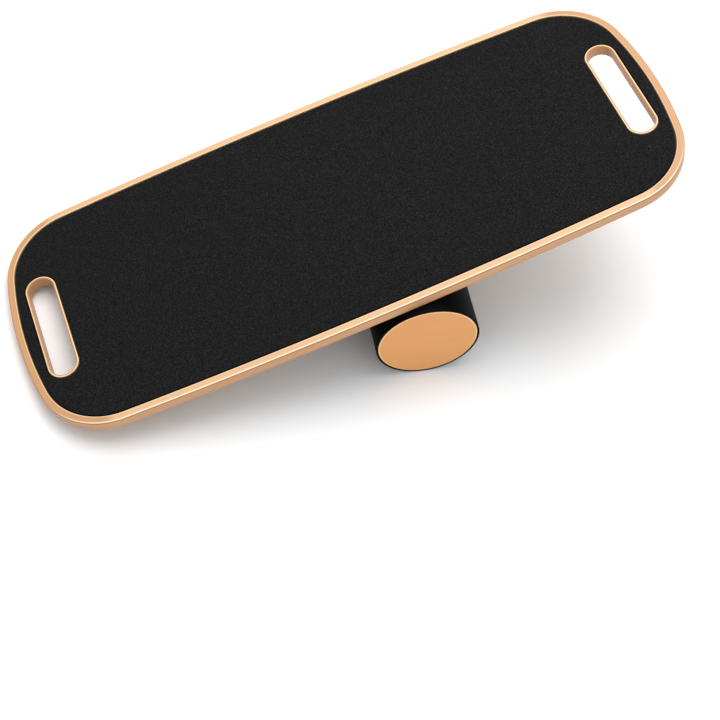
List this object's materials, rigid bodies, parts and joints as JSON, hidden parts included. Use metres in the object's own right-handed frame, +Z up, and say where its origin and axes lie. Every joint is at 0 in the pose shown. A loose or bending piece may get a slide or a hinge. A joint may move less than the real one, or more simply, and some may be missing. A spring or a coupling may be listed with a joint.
{
  "type": "roller balance board",
  "caption": "Long rounded deck with an inlaid grip sheet and a hand slot at each end, resting at a slant on a covered wooden roller.",
  "frame": {"origin": "the point of the floor under the middle of the roller's length, where the roller stands", "axes": "+Y along the roller's axis towards the far side, +X across the roller towards the raised end of the deck, +Z up from the floor"},
  "size_m": [0.7777, 0.4056, 0.2217],
  "materials": {
    "wood_core": "clear satin lacquer",
    "wood_border": "clear satin lacquer",
    "grip": "matte, finely pebbled",
    "wood_disc": "clear satin lacquer",
    "sleeve": "smooth, soft sheen",
    "tube": "plain extruded",
    "strip_rubber": "matte",
    "steel": "zinc plated",
    "bush": "plain moulded",
    "wood_inner": "raw, sanded"
  },
  "bodies": {
    "axle": {"centre_dowel": "wood_inner"},
    "roller": {"roller_sleeve": "sleeve", "roller_tube": "tube", "end_disc_front": "wood_disc", "end_disc_back": "wood_disc", "plug_front": "wood_inner", "plug_back": "wood_inner", "roller_rib": "wood_inner"},
    "cradle": {"rib_bush": "bush"},
    "deck": {"deck_core": "wood_core", "rail_front": "wood_border", "rail_back": "wood_border", "end_left": "wood_border", "end_right": "wood_border", "grip_pad": "grip", "slot_ring_left": "wood_border", "slot_ring_right": "wood_border", "stop_left": "wood_border", "stop_right": "wood_border", "stop_strip_left": "strip_rubber", "stop_strip_right": "strip_rubber", "stop_screws_left": "steel", "stop_screws_right": "steel"}
  },
  "joints": [
    {"name": "roller_spin", "type": "hinge", "parent": "axle", "child": "roller", "pos_m": [0, 0, 0.0604], "axis": [0, 1, 0], "range_deg": [0, 270]},
    {"name": "deck_tilt", "type": "hinge", "parent": "axle", "child": "cradle", "pos_m": [0, 0, 0.0604], "axis": [0, 1, 0], "range_deg": [0, 35.1]},
    {"name": "deck_travel", "type": "slide", "parent": "cradle", "child": "deck", "axis": [-0.9658, 0, -0.2592], "range_m": [-0.283, 0]}
  ],
  "couplings": [
    {"joint": "roller_spin", "follows": "deck_travel", "rad_per_m": -16.556}
  ]
}
